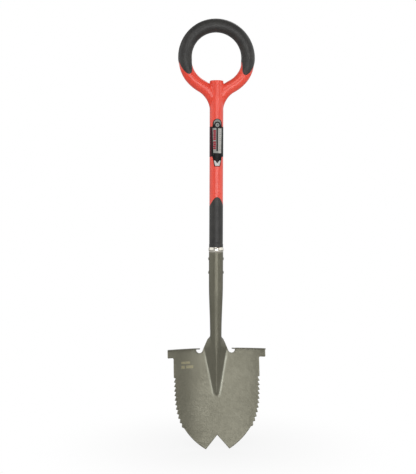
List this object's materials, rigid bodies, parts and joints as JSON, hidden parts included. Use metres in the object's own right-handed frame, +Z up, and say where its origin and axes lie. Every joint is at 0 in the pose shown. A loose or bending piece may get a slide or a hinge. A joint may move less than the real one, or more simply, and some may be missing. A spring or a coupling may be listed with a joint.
{
  "type": "round point shovel",
  "caption": "Digging shovel with a two-pointed, saw-toothed steel blade, folded foot steps, a moulded straight shaft and a round hand ring with soft grips.",
  "frame": {"origin": "on the ground under the middle of the tool's box, with the tool upright on the two tips of its blade", "axes": "+Z up along the shaft towards the hand ring, the blade's hollow face looks along -Y, +X to the right seen from the front"},
  "size_m": [0.2584, 0.0612, 1.12],
  "materials": {
    "head_steel": "satin grey-olive powder coat",
    "handle_plastic": "satin coral-red moulding",
    "soft_grip": "matt black soft grip",
    "polished_collar": "polished",
    "core_steel": "drawn tube",
    "dowel_plastic": "plain",
    "label_film": "printed film"
  },
  "bodies": {
    "root": {"blade": "head_steel", "socket_rivets": "head_steel", "handle_moulding": "handle_plastic", "top_plug": "handle_plastic", "ring_grip": "soft_grip", "lower_grip": "soft_grip", "collar": "polished_collar", "core_tube": "core_steel", "core_dowel": "dowel_plastic", "shaft_label": "label_film"}
  },
  "joints": []
}
